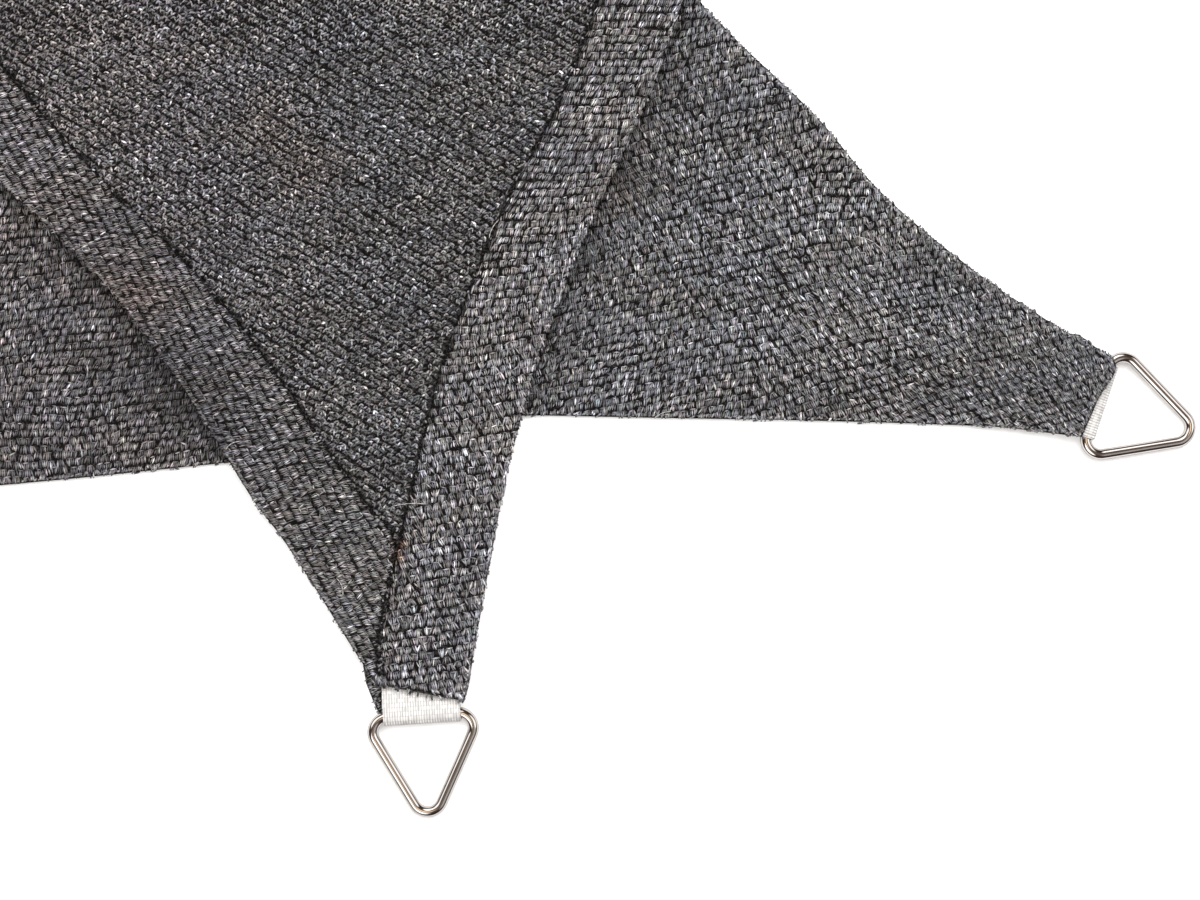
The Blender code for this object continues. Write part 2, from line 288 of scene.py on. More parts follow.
# %% Section functions
HEM_SPLITS = np.array([0.0, 0.02, 0.05, 0.12, 0.25, 0.4, 0.55, 0.7, 0.85, 0.96, 1.0])
PANEL_CELLS = 56
CREASE_AT = 0.75  # share of the step beside a hem at which the crease lies
LEFT, PANEL, RIGHT, CREASE = 1, 2, 3, 4  # which part of the sheet a column belongs to
ALL_PARTS = (LEFT, PANEL, RIGHT, CREASE)
COLUMN_PART = np.repeat(
    [LEFT, CREASE, PANEL, CREASE, RIGHT], [len(HEM_SPLITS), 1, PANEL_CELLS + 1, 1, len(HEM_SPLITS)],
)
PANEL_PLACES = np.concatenate([
    [-CREASE_AT], np.linspace(0, PANEL_CELLS, PANEL_CELLS + 1), [PANEL_CELLS + CREASE_AT],
])
OVER_TAPE_SIDE = 70.0  # how far to each side of a corner its webbing can lift the cloth
FADE = 25.0  # the laid yarns thin out over this way


def between_sections(table, steps):
    """Catmull-Rom curve through the rows of a table, read at fractional row numbers:
    half of 2b + (c-a)t + (2a-5b+4c-d)t^2 + (3b-a-3c+d)t^3 for four rows a, b, c, d."""
    rows = np.vstack([2 * table[0] - table[1], table, 2 * table[-1] - table[-2]])
    whole = np.minimum(np.floor(steps).astype(int), len(table) - 2)
    t = (steps - whole)[:, None]
    a, b, c, d = (rows[whole + i] for i in range(4))
    return (2 * b + (c - a) * t + (2 * a - 5 * b + 4 * c - d) * t**2 + (3 * b - a - 3 * c + d) * t**3) / 2


def section_plan(rows):
    """Plan position of every column of every row: left end plus its share of the run, bowed
    with the lower edge and lifted in the middle."""
    ends = rows[:, 2:4] - rows[:, 0:2]
    length = np.hypot(*ends.T)[:, None]
    left_hem, right_hem = rows[:, 4:5], rows[:, 5:6]
    step = np.minimum(HEM_STEP, (length - left_hem - right_hem) / 5)
    cell = (length - left_hem - right_hem - 2 * step) / PANEL_CELLS
    cells = np.clip(PANEL_PLACES, 0, PANEL_CELLS)
    panel = left_hem + step + cell * cells + step * (PANEL_PLACES - cells)
    along = np.hstack([left_hem * HEM_SPLITS, panel, length - right_hem * HEM_SPLITS[::-1]])
    share = along / length
    run_x = LOWER_EDGE[0, 0] + share * (LOWER_EDGE[-1, 0] - LOWER_EDGE[0, 0])
    run_y = LOWER_EDGE[0, 1] + share * (LOWER_EDGE[-1, 1] - LOWER_EDGE[0, 1])
    bow = np.interp(run_x, *LOWER_EDGE.T) - run_y
    plateau = np.clip(np.minimum(share / 0.1, (1 - share) / 0.12), 0, 1)
    x = rows[:, 0:1] + share * ends[:, 0:1]
    y = rows[:, 1:2] + share * ends[:, 1:2] + rows[:, 6:7] * bow + rows[:, 7:8] * plateau
    return x, y


def over_webbing(x, y, corners):
    """Height at which the cloth runs up over the webbing: read from a short profile by the
    distance behind the ring's bar."""
    height = np.zeros_like(x)
    for corner in corners:
        ahead = way(corner)
        dx = x - CORNERS[corner]["bar"][0]
        dy = y - CORNERS[corner]["bar"][1]
        rise = np.interp(-(dx * ahead[0] + dy * ahead[1]), *OVER_TAPE)
        abreast = np.abs(dy * ahead[0] - dx * ahead[1]) < OVER_TAPE_SIDE
        height = np.maximum(height, np.where(abreast, rise, 0.0))
    return height


def column_layers(rows):
    """Thickness of every column in layers: two in the hems, one between, less the crease."""
    layers = np.where((COLUMN_PART == LEFT) | (COLUMN_PART == RIGHT), 2.0, 1.0)
    layers[COLUMN_PART == CREASE] -= GROOVE / CLOTH
    return np.tile(layers, (len(rows), 1))


def in_picture(x, y):
    """1 inside the picture, falling to 0 before its two far limits."""
    return np.clip((PICTURE_TOP - y) / FADE, 0, 1) * np.clip((x - PICTURE_LEFT) / FADE, 0, 1)


def uneven(x, y):
    """Slight waves of the loose top layer: a product of two slow sine waves."""
    return 0.35 * (1 + np.sin(x / 43 + y / 71)) * (1 + np.sin(y / 37 - x / 90 + 1)) / 2


print("columns:", len(COLUMN_PART))

# %% [markdown]
# ## The three stretches of the sheet
#
# Each stretch gives the wrong side's points and the thickness there: the bottom layer from
# the lower edge to the first fold, the stack of folds, and the top layer down to the corner.

# %% Stretches
def back_layer():
    """Bottom layer, wrong side on the floor at height 0, up only over the webbing."""
    hem = np.linspace(0, BACK_HEM_ROW, 12)
    rest = np.linspace(BACK_HEM_ROW, len(BACK_LAYER) - 1, 70)[1:]
    rows = between_sections(BACK_LAYER, np.concatenate([hem, [BACK_HEM_ROW + 0.05], rest]))
    x, y = section_plan(rows)
    layers = column_layers(rows)
    layers[:len(hem)] = 2
    return np.stack([x, y, over_webbing(x, y, ("left", "right"))], axis=-1), layers * CLOTH


def stack():
    """The folds: half circles in the YZ plane, joined by level runs. The height goes up by a
    fold's diameter at each one."""
    turns = np.linspace(-math.pi / 2, math.pi / 2, 11)
    ys, zs, shifts = [], [], []
    height = 0.0
    for count, (reach, shift) in enumerate(FOLDS):
        radius, side, inset = ((BACK_R, 1, BACK_R), (FRONT_R, -1, FRONT_R + 2 * CLOTH))[count % 2]
        ys.append(reach - side * inset + side * radius * np.cos(turns))
        zs.append(height + radius * (1 + np.sin(turns)))
        shifts.append(np.full(len(turns), shift))
        height += 2 * radius
        if count + 1 < len(FOLDS):
            share = np.linspace(0.06, 0.94, 16)
            ys.append(reach + share * (FOLDS[count + 1, 0] - reach))
            zs.append(np.full(len(share), height))
            shifts.append(shift + share * (FOLDS[count + 1, 1] - shift))
    y, z, shift = (np.concatenate(part) for part in (ys, zs, shifts))
    rows = np.zeros((len(y), 9))
    rows[:, 0], rows[:, 2] = STACK_SIDES[0] + shift, STACK_SIDES[1] + shift
    rows[:, 1] = rows[:, 3] = y
    rows[:, 4:6] = STACK_HEM
    x, y = section_plan(rows)
    return np.stack([x, y, np.broadcast_to(z[:, None], x.shape)], axis=-1), column_layers(rows) * CLOTH


def front_layer():
    """Top layer, wrong side up: its underside's height from the table, with slight waves
    where it lies loose, plus its thickness."""
    share = np.linspace(0, 1, 16)[:-1]
    level = np.tile(FRONT_LAYER[0], (len(share), 1))
    start = FOLDS[-1, 0] - BACK_R - 6
    level[:, 1] = level[:, 3] = start + share * (FRONT_LAYER[0, 1] - start)
    level[:, 8] = STACK_TOP
    table = between_sections(FRONT_LAYER, np.linspace(0, len(FRONT_LAYER) - 1, 118))
    rows = np.vstack([level, table])
    x, y = section_plan(rows)
    under = np.maximum(rows[:, 8:9], 0.0)
    loose = np.clip((under - 1) / 3, 0, 1) * (rows[:, 1:2] < LOOSE_FROM)
    under = np.maximum(under + loose * uneven(x, y), 0.0)
    under = np.maximum(under, over_webbing(x, y, ("front",)))
    layers = column_layers(rows)
    near = rows[:, 1] < OVERLAP_Y
    hem = len(HEM_SPLITS)
    layers[near, hem:-hem] = 2
    layers[near, -hem:] = 3
    return np.stack([x, y, under + layers * CLOTH], axis=-1), layers * CLOTH


back, back_wall = back_layer()
folds, folds_wall = stack()
front, front_wall = front_layer()
print("rows:", len(back), len(folds), len(front))

# %% [markdown]
# ## The sheet as one closed mesh
#
# The right side is the wrong side moved along its normals by the thickness. A rim closes the
# two. The UV map holds distances over the flat cloth in stitches, so that the knit drawn by
# the material runs on round every fold.

# %% Mesh helpers
def grid_normals(points):
    """Cross product of the differences along a row and along a column, of length one."""
    along = np.gradient(points, axis=1)
    down = np.gradient(points, axis=0)
    normals = np.cross(along, down)
    return normals / np.linalg.norm(normals, axis=-1, keepdims=True)


def grid_quads(rows, columns, start=0):
    """Corner numbers of the quads between neighbouring points of a grid."""
    first = (np.arange(rows - 1)[:, None] * columns + np.arange(columns - 1)).ravel() + start
    return np.stack([first, first + 1, first + columns + 1, first + columns], axis=1)


def shell_quads(rows, columns, flipped=False):
    """Quads of a closed shell: two equal grids, one numbered after the other, the first seen
    from behind, and the strip round their rims. Flipped, all of them face the other way."""
    rim = np.concatenate([
        np.arange(columns), np.arange(1, rows) * columns + columns - 1,
        (rows - 1) * columns + np.arange(columns - 2, -1, -1), np.arange(rows - 2, 0, -1) * columns,
    ])
    after = np.roll(rim, -1)
    count = rows * columns
    quads = np.concatenate([
        grid_quads(rows, columns)[:, ::-1], grid_quads(rows, columns, count),
        np.stack([rim, after, after + count, rim + count], axis=1),
    ])
    return quads[:, ::-1] if flipped else quads


def make_mesh(name, points, quads, maps=None, colours=None):
    """A smooth mesh object from arrays, in the frame, with a UV and a colour per point."""
    mesh = bpy.data.meshes.new(name)
    mesh.from_pydata(((points + SHIFT) * MM).tolist(), [], quads.tolist())
    mesh.shade_smooth()
    corners = np.empty(len(mesh.loops), dtype=np.int32)
    mesh.loops.foreach_get("vertex_index", corners)
    if maps is not None:
        layer = mesh.uv_layers.new(name="knit")
        layer.data.foreach_set("uv", maps[corners].astype(np.float32).ravel())
    if colours is not None:
        paint = mesh.color_attributes.new("yarn", "FLOAT_COLOR", "POINT")
        full = np.column_stack([colours, np.ones(len(colours))])
        paint.data.foreach_set("color", full.astype(np.float32).ravel())
    piece = bpy.data.objects.new(name, mesh)
    bpy.context.collection.objects.link(piece)
    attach(piece, "root")
    return piece


# %% Sheet mesh
STITCH = 4.0  # along a row of knitting
ROW = 3.4  # from row to row
KNIT_TURN = math.radians(13)  # of the knit's rows to the sheet's sections

wrong = np.concatenate([back, folds, front])
wall = np.concatenate([back_wall, folds_wall, front_wall])
right = wrong + grid_normals(wrong) * wall[..., None]
right[..., 2] = np.maximum(right[..., 2], 0.0)
across = np.cumsum(np.linalg.norm(np.diff(wrong, axis=1, prepend=wrong[:, :1]), axis=-1), axis=1)
along = np.cumsum(np.linalg.norm(np.diff(wrong, axis=0, prepend=wrong[:1]), axis=-1).mean(axis=1))
flat = np.stack([across, np.broadcast_to(along[:, None], across.shape)], axis=-1).reshape(-1, 2)
cosine, sine = math.cos(KNIT_TURN), math.sin(KNIT_TURN)
flat = flat @ np.array([[cosine, -sine], [sine, cosine]]) / (STITCH, ROW)
# where yarns are laid, the sheet is painted nearly black, as shade between them
dressed = np.zeros((2, *wrong.shape))  # 1 where single yarns are laid on the sheet
dressed[0, len(wrong) - len(front):] = in_picture(front[..., 0], front[..., 1])[..., None]
dressed[1, :len(back)] = in_picture(back[..., 0], back[..., 1])[..., None]
sail = make_mesh(
    "sail", np.stack([wrong, right]).reshape(-1, 3), shell_quads(*wall.shape),
    maps=np.concatenate([flat, flat]), colours=dressed.reshape(-1, 3),
)
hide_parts("sail_cloth")
cells = np.cross(np.diff(wrong, axis=1)[:-1], np.diff(wrong, axis=0)[:, :-1])
area = np.linalg.norm(cells, axis=-1).sum() * MM**2
print("sheet:", len(sail.data.vertices), "points; about", round(area, 3), "square metres")

# %% [markdown]
# ## Where stitches lie
#
# Single yarns are laid on the sheet as small arched ribbons. To find the height under a
# yarn, each visible stretch is surveyed once: its grid is refined and dropped into a map of
# millimetre squares that holds the greatest height and which part of the sheet is there.

# %% Survey
SQUARE = 1.0  # size of a survey square
SMOOTHED = 7  # the bottom layer's heights are evened out over so many squares to each side


def refine(values, finer):
    """Grid values with finer[0] points for one down the columns and finer[1] along the rows."""
    for axis in (0, 1):
        count = values.shape[axis]
        steps = np.linspace(0, count - 1, (count - 1) * finer[axis] + 1)
        whole = np.minimum(steps.astype(int), count - 2)
        share = (steps - whole).reshape([-1 if i == axis else 1 for i in range(values.ndim)])
        values = values.take(whole, axis) * (1 - share) + values.take(whole + 1, axis) * share
    return values


def survey(points):
    """Height and part of the sheet in each millimetre square of a stretch's box. The points
    dropped into the squares stand closer than a square is wide, so none is missed. A grid
    with other columns than the sheet's is all of part 1."""
    names = COLUMN_PART if points.shape[1] == len(COLUMN_PART) else np.ones(points.shape[1], dtype=int)
    longest = [np.linalg.norm(np.diff(points, axis=axis), axis=-1).max() for axis in (0, 1)]
    finer = [int(math.ceil(reach / (0.6 * SQUARE))) for reach in longest]
    fine = refine(points, finer)
    nearest = np.rint(np.linspace(0, len(names) - 1, fine.shape[1])).astype(int)
    part = np.broadcast_to(names[nearest], fine.shape[:2])
    base = np.floor(fine[..., :2].min(axis=(0, 1))) - 2
    spots = ((fine[..., :2] - base) / SQUARE).astype(int)
    size = spots.max(axis=(0, 1)) + 3
    height = np.zeros(size)
    np.maximum.at(height, (spots[..., 0], spots[..., 1]), fine[..., 2])
    parts = np.zeros(size, dtype=int)
    parts[spots[..., 0], spots[..., 1]] = part
    return {"base": base, "height": height, "part": parts}


def look_up(chart, x, y):
    """Height and part at these places, part 0 off the cloth."""
    column = np.clip(((x - chart["base"][0]) / SQUARE).astype(int), 0, chart["height"].shape[0] - 1)
    row = np.clip(((y - chart["base"][1]) / SQUARE).astype(int), 0, chart["height"].shape[1] - 1)
    return chart["height"][column, row], chart["part"][column, row]


back_chart = survey(right[:len(back)])
height = back_chart["height"]
steps = range(-SMOOTHED, SMOOTHED + 1)
back_chart["height"] = np.maximum(height, sum(np.roll(height, step, axis=1) for step in steps) / len(steps))
front_chart = survey(wrong[-len(front):])
print("survey squares:", back_chart["height"].shape, front_chart["height"].shape)

# %% [markdown]
# ## Places of stitches
#
# A knit is rows of stitches. Real rows are a little uneven and wave slowly, so a plain
# lattice of places is shaken, turned and bent. An even one would look printed.

# %% Places of stitches
def step_from(x, y, turn, ahead, beside=0.0):
    """Plan places so far ahead of others in a direction, and so far to its left."""
    return (
        x + ahead * np.cos(turn) - beside * np.sin(turn),
        y + ahead * np.sin(turn) + beside * np.cos(turn),
    )


def lattice(box, turn, stitch, row):
    """Stitch centres and row directions over a box: whole rows of stitches, each row shifted
    by a chance amount and gently waved, and the whole turned by an angle and then bent by
    the sum of two slow sine waves."""
    middle = np.array([(box[0] + box[2]) / 2, (box[1] + box[3]) / 2])
    reach = math.hypot(box[2] - box[0], box[3] - box[1]) / 2
    count = int(reach / row) + 1
    width = int(reach / stitch) + 1
    j, i = np.meshgrid(np.arange(-count, count + 1), np.arange(-width, width + 1), indexing="ij")
    a = (i + 0.5 * (j % 2) + RNG.normal(0, 0.13, (len(j), 1))) * stitch + RNG.normal(0, 0.32, i.shape)
    phase = RNG.random((len(j), 1))
    b = j * row + 0.22 * np.sin(a / 7 + phase * 6) + RNG.normal(0, 0.28, i.shape)
    x, y = step_from(*middle, turn, a, b)
    drift = 1.2 * np.sin(x / 23 + 1.3 * np.sin(y / 31)) + 0.6 * np.sin(x / 11 - y / 17)
    bend = 0.052 * np.cos(x / 23 + 1.3 * np.sin(y / 31)) + 0.055 * np.cos(x / 11 - y / 17)
    y = y + drift
    keep = (x > box[0]) & (x < box[2]) & (y > box[1]) & (y < box[3])
    return x[keep], y[keep], (turn + bend + RNG.normal(0, 0.08, x.shape))[keep]


print("a stitch is", STITCH, "by", ROW, "mm")

# %% [markdown]
# ## Colours of yarns
#
# The plastic yarn is a mix of greys with a few bluish, tan and reddish ones, in soft
# patches. Some darker patches beside the edges of the top layer are painted shade. Each
# yarn's colour goes on its own points, so that it stays with its stitch.

# %% Colours of yarns
GREY = 0.156  # how pale the middle of an average yarn is
WARM, COOL = np.array([1.06, 1.00, 0.94]), np.array([0.97, 0.985, 1.05])
CAST = np.array([0.972, 0.977, 1.018])  # a slight blue over all of them
BROWN = np.array([0.24, -0.08, -0.28])  # a full brown patch changes the logarithm of a colour so
# soft patches: x, y, reach, how much darker and how much browner. The first eight, beside the
# top layer's edges, are painted shade; the two small brown spots are rust; the rest make the
# yarn darker, paler and browner in places
PAINTED_SHADE_AND_TONE_PATCHES = np.array([
    (-207.0, 45.0, 22.0, 0.25, 0.0), (-189.0, 24.0, 20.0, 0.30, 0.0), (-172.0, 4.0, 14.0, 0.15, 0.0),
    (-252.0, 98.0, 18.0, 0.18, 0.1), (9.0, 119.0, 14.0, 0.28, 0.2), (-4.0, 84.0, 14.0, 0.25, 0.0),
    (-20.0, 50.0, 13.0, 0.28, 0.1), (26.0, 152.0, 12.0, 0.2, 0.0),
    (-90.8, -43.0, 2.6, 0.45, 1.5), (-91.8, -48.5, 2.4, 0.50, 1.8), (-208.0, 72.0, 13.0, 0.0, 0.35),
    (-131.0, 122.0, 16.0, 0.05, 0.30), (-150.0, 150.0, 12.0, 0.0, 0.25), (-100.0, -62.0, 12.0, 0.1, 0.1),
    (50.0, 75.0, 40.0, -0.08, -0.05), (150.0, 70.0, 45.0, -0.06, -0.03), (-255.0, 30.0, 70.0, 0.20, 0.0),
])


def tints(x, y, each):
    """Yarn colours, for stitches of so many yarns each: a chance grey for the stitch and the
    yarn, a chance hue, slow waves that make paler, bluish and tan patches, and the listed
    soft patches, some of them painted shade beside the top layer."""
    count = len(x)
    stitch = np.repeat(RNG.normal(0, 0.10, count // each), each)
    grey = GREY * np.exp(stitch + RNG.normal(-0.06, 0.52, count))
    grey *= 1 + 0.13 * np.sin(x / 31 + 2 * np.sin(y / 23)) * np.sin(y / 17 + x / 67)
    cool = 0.5 + 0.5 * np.sin(x / 19 + np.sin(y / 11) * 1.7) * np.sin(y / 13 - x / 41)
    cool = np.clip(cool + RNG.normal(0, 0.4, count), 0, 1)[:, None]
    tint = WARM * (1 - cool) + COOL * cool
    tint = tint * np.exp(RNG.normal(0, 0.035, (count, 3))) * CAST
    tint[:, 0] *= 1 + 0.055 * np.clip((-110 - x) / 90, 0, 1)
    # the listed patches: painted shade beside the top layer's edges, rust spots, and tone that is darker,
    # paler and browner in places
    for px, py, reach, painted_shade_and_tone, brown in PAINTED_SHADE_AND_TONE_PATCHES:
        near = np.exp(-((x - px) ** 2 + (y - py) ** 2) / reach**2)
        grey *= 1 - painted_shade_and_tone * near
        tint *= np.exp(brown * near[:, None] * BROWN)
    return np.clip(grey, 0.05, 0.62)[:, None] * tint


print(len(PAINTED_SHADE_AND_TONE_PATCHES), "soft patches")

# %% [markdown]
# ## Ribbons
#
# Each yarn is a ribbon of three stations, arched along and across, so that its ends sink
# between its neighbours. Its sides and ends are painted darker, as painted shade, because less
# light gets down there, and its middle is painted paler, as a painted highlight along it.
# Beyond the picture the yarns thin out, and the material draws the knit instead, which keeps
# the part light.

# %% Ribbons
STATIONS = np.array([-1.0, 0.0, 1.0])  # along a ribbon and across it, in halves of its size
NARROW = np.array([0.66, 1.0, 0.66])  # its width at the stations
BULGE = np.array([[-0.3, -0.05, -0.3], [-0.05, 1.0, -0.05], [-0.3, -0.05, -0.3]])  # its height
ARCH = 0.5  # height of its middle over the cloth
NEAR_HEIGHT = 0.8  # the ground under its points is at most this far from that under its middle
SHORTENED = 0.62  # what is left of its length when an end is off its part of the cloth
# painted shade and highlight on each point of a ribbon: its ends and sides lie deeper and are painted
# darker, its middle is painted paler
RIBBON_PAINTED_LIGHT = np.array([[0.16, 0.42, 0.16], [0.28, 1.3, 0.28], [0.16, 0.42, 0.16]]).ravel()
RIBBON_QUADS = np.array([(0, 3, 4, 1), (1, 4, 5, 2), (3, 6, 7, 4), (4, 7, 8, 5)])


def ribbons(x, y, turn, length, width, ground_of, lift, trim=True):
    """Arched ribbons on the surveyed cloth, and which of the yarns they stand for. Station s
    in -1, 0, 1 lies at s times half the length; its cross-section has half the width at its
    middle and two thirds of that at the ends; its height is the cloth's plus the arch at the
    middle of both. A yarn whose middle is off its part of the cloth is left out, and one
    whose end is off it is shortened."""
    chart, parts = ground_of
    kept = np.isin(look_up(chart, x, y)[1], parts) & (RNG.random(len(x)) < in_picture(x, y))
    x, y, turn, length, width = x[kept], y[kept], turn[kept], length[kept], width[kept]
    lift = np.broadcast_to(lift, kept.shape)[kept]
    for end in (0.5, -0.5) if trim else ():
        off = ~np.isin(look_up(chart, *step_from(x, y, turn, end * length))[1], parts)
        x, y = step_from(x, y, turn, np.where(off, -end * 0.5 * length, 0.0))
        length = np.where(off, SHORTENED * length, length)
    ahead = (length / 2)[:, None, None] * STATIONS[:, None]
    beside = (width / 2)[:, None, None] * (NARROW[:, None] * STATIONS)
    px, py = step_from(x[:, None, None], y[:, None, None], turn[:, None, None], ahead, beside)
    ground, part = look_up(chart, px, py)
    middle = look_up(chart, x, y)[0][:, None, None]
    ground = np.where(part > 0, ground, middle).clip(middle - NEAR_HEIGHT, middle + NEAR_HEIGHT)
    heights = ground + BULGE * ARCH + lift[:, None, None]
    return np.stack([px, py, heights], axis=-1).reshape(-1, 9, 3), kept


def lay_yarns(name, ribbon_points, tones, light=None):
    """One piece from ribbons with a colour each, darker where less light reaches."""
    if light is not None:
        tones = tones * light(ribbon_points[:, 4, 0], ribbon_points[:, 4, 1])[:, None]
    first = np.arange(len(ribbon_points))[:, None, None] * 9
    quads = (first + RIBBON_QUADS).reshape(-1, 4)
    # painted shade on each ribbon's ends and sides, and a painted highlight along its middle
    colours = (tones[:, None, :] * RIBBON_PAINTED_LIGHT[None, :, None]).reshape(-1, 3)
    piece = make_mesh(name, ribbon_points.reshape(-1, 3), quads, colours=colours)
    print(name, len(ribbon_points), "yarns,", 2 * len(quads), "triangles")
    return piece


print("triangles for each yarn:", 2 * len(RIBBON_QUADS))

# %% [markdown]
# ## Stitches
#
# On the right side each stitch shows as four short yarns side by side, leaning a little to
# and fro, and one across their heads, between dark lines. On the wrong side it shows as a
# small horseshoe.

# %% Stitches of the right side
SWAY_OF = np.array([1.0, 0.3, -0.5, -1.0, 0.0])  # how far each yarn leans to and fro
HEAD = np.array([0, 0, 0, 0, 1])  # the last yarn is the stitch's head and lies along the row
# along the row, up from it, length, width and paleness of each yarn, in stitches and rows
UPRIGHTS = np.array([
    (-0.34, -0.03, 1.00, 0.92, 0.90), (-0.11, -0.02, 1.06, 0.92, 1.06),
    (0.11, -0.02, 1.06, 0.92, 1.06), (0.34, -0.03, 1.00, 0.92, 0.90),
    (0.00, 0.37, 0.86, 0.90, 0.80),
])


def around(x, y, turn, away, up):
    """Middles of all yarns that lie so far along the row from their stitch and up from it."""
    return [place.ravel() for place in step_from(x[:, None], y[:, None], turn[:, None], away, up)]


def right_side(x, y, turn, stitch, row, ground_of, lean, sway):
    """Yarns of right-side stitches: four for each, side by side along the row, all leaning
    by one angle and to and fro by another, and one across their heads."""
    away, up, length, width, pale = UPRIGHTS.T
    count = (len(x), len(away))
    away = away * stitch + RNG.normal(0, 0.10, count)
    up = up * row + RNG.normal(0, 0.13, count)
    yx, yy = around(x, y, turn, away, up)
    to_and_fro = sway[:, None] * RNG.choice([-1, 1], (len(x), 1)) * SWAY_OF
    tilt = lean[:, None] + to_and_fro + RNG.normal(0, 0.14, count)
    tilt[:, -1] = math.pi / 2 + RNG.normal(0, 0.2, len(x))
    heading = (turn[:, None] + math.pi / 2 - tilt).ravel()
    length = (length * np.where(HEAD, stitch, row) * RNG.normal(1.0, 0.09, count)).ravel()
    width = (width * stitch / STITCH * RNG.normal(1.0, 0.12, count)).ravel()
    lift = (RNG.normal(0.04, 0.08, (len(x), 1)) + RNG.normal(0.0, 0.06, count) - 0.1 * HEAD).ravel()
    laid, kept = ribbons(yx, yy, heading, length, width, ground_of, lift)
    pale = np.tile(pale, len(x))
    pale = pale * np.exp(RNG.normal(0, 0.12, len(pale)))
    return laid, (tints(yx, yy, len(UPRIGHTS)) * pale[:, None])[kept]


print("yarns in a stitch:", len(UPRIGHTS))

# %% Stitches of the wrong side
# along the row, up from it, turn from it, length, width and paleness of each yarn
HORSESHOE = np.array([
    (-0.72, -0.20, 1.25, 2.3, 1.00, 0.86),
    (0.00, 0.55, 0.05, 2.4, 1.10, 1.05),
    (0.75, -0.25, -1.25, 2.3, 1.00, 0.86),
    (1.75, 0.15, 0.80, 2.3, 1.00, 0.55),
    (0.10, -0.60, 0.20, 1.6, 0.90, 0.45),
])


def wrong_side(x, y, turn, ground_of, each):
    """Yarns of wrong-side stitches: the first few of the horseshoe's yarns for each."""
    away, up, bend, length, width, pale = HORSESHOE[:each].T
    count = (len(x), each)
    away = away + RNG.normal(0, 0.12, count)
    up = up + RNG.normal(0, 0.12, count)
    yx, yy = around(x, y, turn, away, up)
    heading = (turn[:, None] + bend + RNG.normal(0, 0.35, count)).ravel()
    length = (length * RNG.normal(1.0, 0.1, count)).ravel()
    width = (width * RNG.normal(1.0, 0.1, count)).ravel()
    lift = np.repeat(RNG.normal(0.04, 0.08, len(x)), each) + RNG.normal(0.0, 0.05, len(yx))
    laid, kept = ribbons(yx, yy, heading, length, width, ground_of, lift)
    pale = (0.92 * pale * np.exp(RNG.normal(0, 0.22, count))).ravel()
    return laid, (tints(yx, yy, each) * pale[:, None])[kept]


print("yarns in a horseshoe:", len(HORSESHOE))

# %% [markdown]
# ## Light between the layers
#
# Yarns in a crease, or beside the edge of the layer above, get less light, so they are
# painted darker. Looking up what lies a few steps around a yarn finds them.

# %% Light between the layers
SIDEWAYS = ((1, 0), (-1, 0), (0, 1), (0, -1))
CLOSE = 2.5  # a stitch so near a part of the cloth can have yarns on it


def box_of(points):
    """Lowest and highest plan corner of a stretch."""
    return np.concatenate([points[..., :2].min(axis=(0, 1)), points[..., :2].max(axis=(0, 1))])


def top_part(x, y, dx=0.0, dy=0.0):
    """Which part of the top layer is there, 0 for none."""
    return look_up(front_chart, x + dx, y + dy)[1]


def near_part(part, x, y):
    """Whether a place or one of its near neighbours is on this part of the top layer."""
    near = top_part(x, y) == part
    for dx, dy in SIDEWAYS:
        near |= top_part(x, y, CLOSE * dx, CLOSE * dy) == part
    return near


# how near the top layer or a crease has to be, and the share of light that is left then
BESIDE_TOP = ((22, 0.94), (17, 0.88), (12, 0.82), (7, 0.75), (3.5, 0.66))
BESIDE_CREASE = ((3.0, 0.80), (1.7, 0.38), (0.9, 0.12))


def beside_top_layer(x, y):
    """How much light reaches the bottom layer: least close beside the top layer."""
    light = np.ones(len(x))
    for reach, least in BESIDE_TOP:
        for turn in np.arange(8) * math.pi / 4:
            light[top_part(*step_from(x, y, turn, reach)) > 0] = least
    return light


def beside_crease(x, y):
    """How much light reaches the top layer: least in and beside the creases."""
    light = np.ones(len(x))
    for reach, least in BESIDE_CREASE:
        for dx, dy in SIDEWAYS:
            light[top_part(x, y, reach * dx, reach * dy) == CREASE] = least
    return light


print("part of the top layer at the middle of the picture:", top_part(np.zeros(1), np.zeros(1)))

# %% [markdown]
# ## Rows of stitches
#
# The bottom layer's rows rise to the right. The right hem's rows lie across it and the left
# hem's nearly along it, because the cloth there is turned over. Between the hems the wrong
# side's rows fall to the right.

# %% Rows of stitches
BACK_TURN = np.array([  # place along the bottom layer and slope of its rows there
    (-620.0, 0.00), (-272.0, 0.07), (-180.0, 0.20), (-20.0, 0.20), (60.0, 0.26), (140.0, 0.36),
    (232.0, 0.42),
])
BACK_PIVOT = (90.0, -35.0)  # rows keep their height here, and draw in towards this line
DRAWN_FROM = 100.0  # right of this the stitches get smaller towards the corner
DRAWN_IN = 0.0016  # and lose this share of their size a millimetre
LEFT_HEM_KNIT = (math.radians(-62), 3.1, 3.5)  # direction of the rows, stitch and row
PANEL_KNIT = (math.radians(-31), 3.5, 2.55)
SPLIT_X = -100.0  # the bottom layer's stitches are two pieces
SPLIT_Y = (110.0, 185.0)  # and the panel's are three
YARNS_TO = 285.0  # no yarn is laid further back
COVERED = 9.0  # nor where the top layer covers the place and all places so near it


